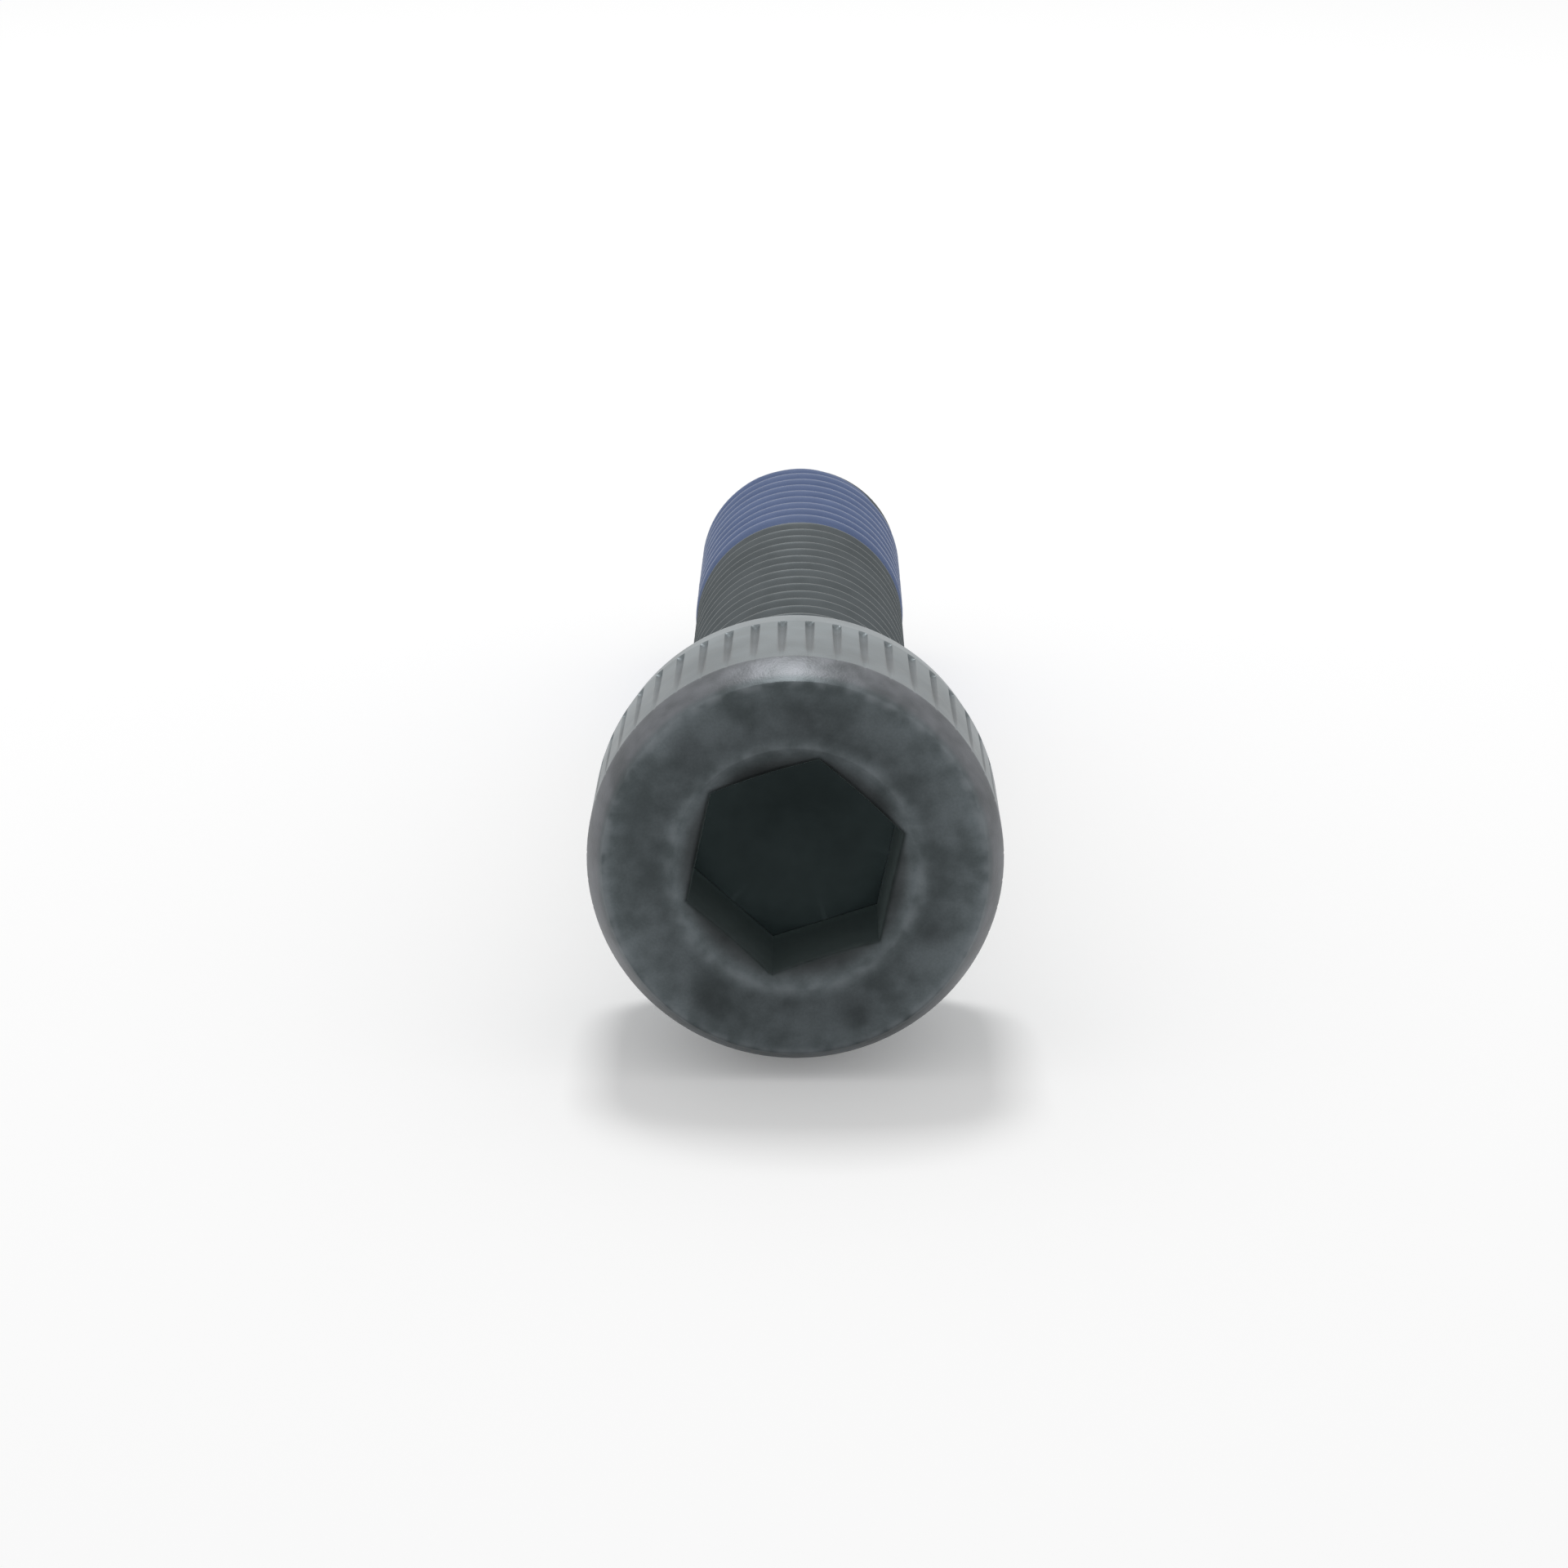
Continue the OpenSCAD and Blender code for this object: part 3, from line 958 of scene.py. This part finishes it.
def groove_grime_and_shade(nodes, on, knurl):
    """1 along the middle of the knurling's grooves, thinning out towards their ends: partly dirt,
    partly painted shade.
    """
    turn = (nodes.math("ARCTAN2", on.y, on.x) / TAU - 0.25) * knurl.count
    grime_and_groove_shade = 1 - nodes.ease(abs(turn - nodes.math("ROUND", turn)), 0.1, 0.23)
    grime_and_groove_shade = grime_and_groove_shade * nodes.ease(on.depth, knurl.start + 0.2 * MM, knurl.start + 1.2 * MM)
    return grime_and_groove_shade * (1 - nodes.ease(on.depth, knurl.end - 0.4 * MM, knurl.end + 0.2 * MM))


def socket_colour(nodes, on, colour, finish, socket):
    """The steel's colour with the socket's rubbed flats, partly lifted by painted light, and its
    floor in painted shade laid over it.
    """
    to_mouth = socket.mouth_diameter / 2 - on.radius
    below_bevel = on.depth - to_mouth * math.tan(socket.mouth_angle)
    on_wall = nodes.ease(below_bevel, 0, 0.16 * MM) * on.socket
    colour = nodes.tint(on_wall, colour, finish.socket_wall_rub_and_light)
    on_floor = nodes.ease(on.depth, socket.depth - 0.1 * MM, socket.depth) * on.socket
    colour = nodes.tint(on_floor, colour, finish.socket_floor_shade)
    # Painted light: the flats are brighter where they meet the floor, against the shade in that
    # crease
    crease_light = nodes.ease(on.depth, socket.depth - 0.9 * MM, socket.depth)
    crease_light = crease_light * nodes.ease(on.radius, 1.8 * MM, 3.2 * MM) * on.socket
    return nodes.tint(1.0, colour, 1 + 0.25 * crease_light, "MULTIPLY")


def steel_material(finish, head, knurl, socket):
    """Blackened steel: mottled oxide, oil and dust in the hollows, thin brighter edges, and painted
    light and shade: darker grooves, a darker lower bevel, a lighter side and thread, and a socket
    with a dark floor and lifted walls.
    """
    material, nodes = new_material("black_steel")
    on = Regions(nodes, head, socket)
    clouds = nodes.noise(on.point, CLOUD_SIZE, detail=1.5)
    blots = nodes.noise(on.point, BLOT_SIZE, detail=1.5)
    grain = nodes.noise(on.point, GRAIN_SIZE, detail=2, roughness=0.6)
    # The side and the thread are more even than the face
    patchy = nodes.ease(clouds * 0.6 + blots * 0.4, 0.31, 0.69)
    patchy = nodes.blend(nodes.most(on.thread * 0.7, on.side * 0.5), patchy, 0.5)
    colour = nodes.tint(patchy, finish.steel_dark, finish.steel)
    tone = steel_tone(nodes, on, head, clouds, blots, grain)
    colour = nodes.tint(1.0, colour, tone, "MULTIPLY")
    worn = edge_wear(nodes, on, head, socket, blots)
    colour = nodes.tint(nodes.clamped(worn * 0.5), colour, finish.steel_worn)
    # Oil and dust sit in the thread's roots; along the knurling's grooves the colour is partly dirt
    # and partly painted shade
    grime_and_groove_shade = nodes.blend(on.thread, groove_grime_and_shade(nodes, on, knurl) * 0.28, on.hollow * 0.16)
    colour = nodes.tint(grime_and_groove_shade, colour, finish.hollow)
    colour = socket_colour(nodes, on, colour, finish, socket)
    # Painted shade: the bevel is darker on its lower side, which faces the floor
    low_bevel_shade = nodes.ease(on.y / (head.diameter / 2), 0.6, 0.95) * on.bevel
    for mask, tint in (
        (on.bevel, finish.bevel_tint), (low_bevel_shade, finish.low_bevel_shade_tint), (on.face, finish.face_tint),
    ):
        colour = nodes.tint(mask, colour, tint, "MULTIPLY")
    # The hollows are duller, the knurling's more than the thread's
    grime = on.hollow * nodes.blend(on.thread, 0.3, 0.1)
    roughness = finish.steel_gloss + 0.16 * (blots - 0.5) + grime - 0.06 * worn
    relief = (grain * 0.3 + blots * 0.7) * (1 + 2 * on.bevel)
    bump = nodes.add("ShaderNodeBump", None, {
        "Strength": 0.35, "Distance": 0.02 * MM, "Height": relief,
    })
    shade(nodes, {
        "Base Color": colour, "Metallic": 0.85, "Roughness": roughness, "Normal": bump,
    })
    return material


def coat_material(finish):
    """Dry thread-locking compound: matte, a little chalky and paler where it is thin."""
    material, nodes = new_material("locking_coat")
    point = screw_point(nodes)
    clouds = nodes.noise(point, CHALK_SIZE, detail=4, roughness=0.6)
    grain = nodes.noise(point, DUST_SIZE, detail=3, roughness=0.65)
    # It is thin on the crests, in patches, and at its ends
    on_crest = (1 - attribute(nodes, "hollow")) * 0.15 * nodes.ease(clouds, 0.35, 0.65)
    at_end = (1 - attribute(nodes, "laid")) * 0.5
    pale = nodes.clamped(on_crest + at_end)
    colour = nodes.tint(pale, finish.coat, finish.coat_pale)
    colour = nodes.tint(1.0, colour, 0.82 + 0.36 * clouds, "MULTIPLY")
    bump = nodes.add("ShaderNodeBump", None, {
        "Strength": 0.4, "Distance": 0.012 * MM, "Height": grain * 0.6 + clouds * 0.4,
    })
    shade(nodes, {
        "Base Color": colour,
        "Roughness": 0.68 + 0.15 * (grain - 0.5),
        "Sheen Weight": 0.55,
        "Normal": bump,
    })
    return material


# ---- Pieces ----------------------------------------------


def finished_piece(name, mesh, node, sharp_degrees):
    """Lays a mesh made in the screw's frame in its place and makes it stand for its CAD node."""
    mesh.name = name
    mesh.transform(PLACE)
    mesh.shade_smooth()
    mesh.set_sharp_from_angle(angle=math.radians(sharp_degrees))
    mesh.validate()
    piece = new_object(name, mesh)
    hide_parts(node)
    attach(piece, "root")


class CAPSCREW_OT_steel(Operator):
    """Make the steel screw: its knurled head, neck and thread in one skin"""

    bl_idname = "capscrew.steel"
    bl_label = "Steel Screw"
    bl_options = {"REGISTER", "UNDO"}

    def execute(self, context):
        settings = context.scene.cap_screw
        head, knurl, thread = settings.head, settings.knurl, settings.thread
        blank = blank_head(head, knurl, settings.socket, thread)
        material = steel_material(settings.finish, head, knurl, settings.socket)
        values = knurl_values(head, knurl, material)
        knurled = grown("knurled_head", knurl_tree(values), values, blank)
        values = thread_values(thread, thread_sides(knurl), material)
        whole = grown("screw", thread_tree(values), values, knurled)
        finished_piece("screw_steel", whole, "screw", sharp_degrees=32)
        return {"FINISHED"}


class CAPSCREW_OT_coat(Operator):
    """Make the thread-locking coat near the tip"""

    bl_idname = "capscrew.coat"
    bl_label = "Thread-locking Coat"
    bl_options = {"REGISTER", "UNDO"}

    def execute(self, context):
        settings = context.scene.cap_screw
        material = coat_material(settings.finish)
        sides = thread_sides(settings.knurl)
        values = coat_values(settings.coat, settings.thread, sides, material)
        mesh = grown("coat", coat_tree(values), values)
        finished_piece("locking_coat", mesh, "thread_coat", sharp_degrees=60)
        return {"FINISHED"}


# ---- Stage -----------------------------------------------


def seen_ray(nodes):
    """1 for what the camera sees, also in metal and through glass, and 0 for light on its way."""
    path = nodes.add("ShaderNodeLightPath")
    seen = path.output("Is Camera Ray") + path.output("Is Glossy Ray")
    return nodes.clamped(seen + path.output("Is Transmission Ray"))


def white_world(stage):
    """A white backdrop all round, which lights the screw at a lower level than it shows."""
    world = bpy.data.worlds.new("studio")
    world.use_nodes = True
    nodes = Nodes(world.node_tree)
    world.node_tree.nodes.clear()
    strength = nodes.blend(seen_ray(nodes), stage.ambient, 1.0)
    backdrop = nodes.add("ShaderNodeBackground", None, {"Color": (1, 1, 1), "Strength": strength})
    nodes.add("ShaderNodeOutputWorld", None, {"Surface": backdrop})
    bpy.context.scene.world = world


def pale_floor(stage):
    """A plain pale floor that keeps the screw's shadow."""
    material, nodes = new_material("floor")
    matte = nodes.add("ShaderNodeBsdfDiffuse", None, {"Color": stage.floor_colour})
    lift = seen_ray(nodes) * stage.floor_lift
    glow = nodes.add("ShaderNodeEmission", None, {"Color": (1, 1, 1), "Strength": lift})
    both = nodes.add("ShaderNodeAddShader", None, {0: matte, 1: glow})
    nodes.add("ShaderNodeOutputMaterial", None, {"Surface": both})
    mesh = bpy.data.meshes.new("floor")
    half = stage.floor_size / 2
    corners = [(-half, -half, 0), (half, -half, 0), (half, half, 0), (-half, half, 0)]
    mesh.from_pydata(corners, [], [(0, 1, 2, 3)])
    mesh.materials.append(material)
    new_object("floor", mesh)


def key_lamp(stage, aim):
    """A square soft lamp, high beyond the screw and turned to its aim."""
    away = Vector((-stage.key_aside, math.cos(stage.key_height), math.sin(stage.key_height)))
    data = bpy.data.lights.new("key", "AREA")
    data.size = stage.key_size
    data.energy = stage.key_power
    lamp = new_object("key", data)
    lamp.location = aim + away * stage.key_distance
    lamp.rotation_euler = away.to_track_quat("Z", "Y").to_euler()


def view_camera(stage, head):
    """The camera, a little above the screw and in front of its head."""
    centre = PLACE @ Vector((0, 0, head.bevel_height - head.height))
    tilt = Matrix.Rotation(-stage.elevation, 3, "X")
    swing = Matrix.Rotation(stage.swing, 3, "Z")
    ahead = swing @ tilt @ Vector((0, 1, 0))
    right = swing @ Vector((1, 0, 0))
    up = right.cross(ahead)
    data = bpy.data.cameras.new("camera")
    data.lens = stage.lens
    data.clip_start = 0.01
    data.clip_end = 10
    camera = new_object("camera", data)
    camera.location = centre - ahead * stage.distance - right * stage.aside + up * stage.below
    camera.rotation_euler = Matrix((right, up, -ahead)).transposed().to_euler()
    bpy.context.scene.camera = camera


class CAPSCREW_OT_stage(Operator):
    """Set the floor, the light and the camera"""

    bl_idname = "capscrew.stage"
    bl_label = "Stage"
    bl_options = {"REGISTER", "UNDO"}

    def execute(self, context):
        settings = context.scene.cap_screw
        stage = settings.stage
        white_world(stage)
        pale_floor(stage)
        key_lamp(stage, PLACE @ Vector((0, 0, -settings.head.height / 2)))
        view_camera(stage, settings.head)
        context.scene.view_settings.view_transform = "Standard"
        return {"FINISHED"}


class CAPSCREW_PT_panel(Panel):
    """The cap screw's pieces and their settings."""

    bl_idname = "CAPSCREW_PT_panel"
    bl_label = "Cap Screw"
    bl_space_type = "VIEW_3D"
    bl_region_type = "UI"
    bl_category = "Cap Screw"

    def draw(self, context):
        settings = context.scene.cap_screw
        for operator in STEPS:
            self.layout.operator(operator.bl_idname)
        for name in settings.bl_rna.properties.keys():
            group = getattr(settings, name, None)
            if isinstance(group, PropertyGroup):
                box = self.layout.box()
                box.label(text=name.capitalize())
                for item in group.bl_rna.properties.keys():
                    if item not in ("rna_type", "name"):
                        box.prop(group, item)


GROUPS = (
    HeadSizes, KnurlSizes, SocketSizes, ThreadSizes, CoatSizes, Finishes, StageSettings,
    CapScrewSettings,
)
STEPS = (CAPSCREW_OT_steel, CAPSCREW_OT_coat, CAPSCREW_OT_stage)
CLASSES = (*GROUPS, *STEPS, CAPSCREW_PT_panel)


def register():
    """Adds the settings, the operators and the panel."""
    for one in CLASSES:
        bpy.utils.register_class(one)
    bpy.types.Scene.cap_screw = PointerProperty(type=CapScrewSettings)


def unregister():
    """Removes them again."""
    del bpy.types.Scene.cap_screw
    for one in reversed(CLASSES):
        bpy.utils.unregister_class(one)


def main():
    """Makes the screw and its stage."""
    register()
    bpy.ops.capscrew.steel()
    bpy.ops.capscrew.coat()
    bpy.ops.capscrew.stage()


if __name__ == "__main__":
    main()
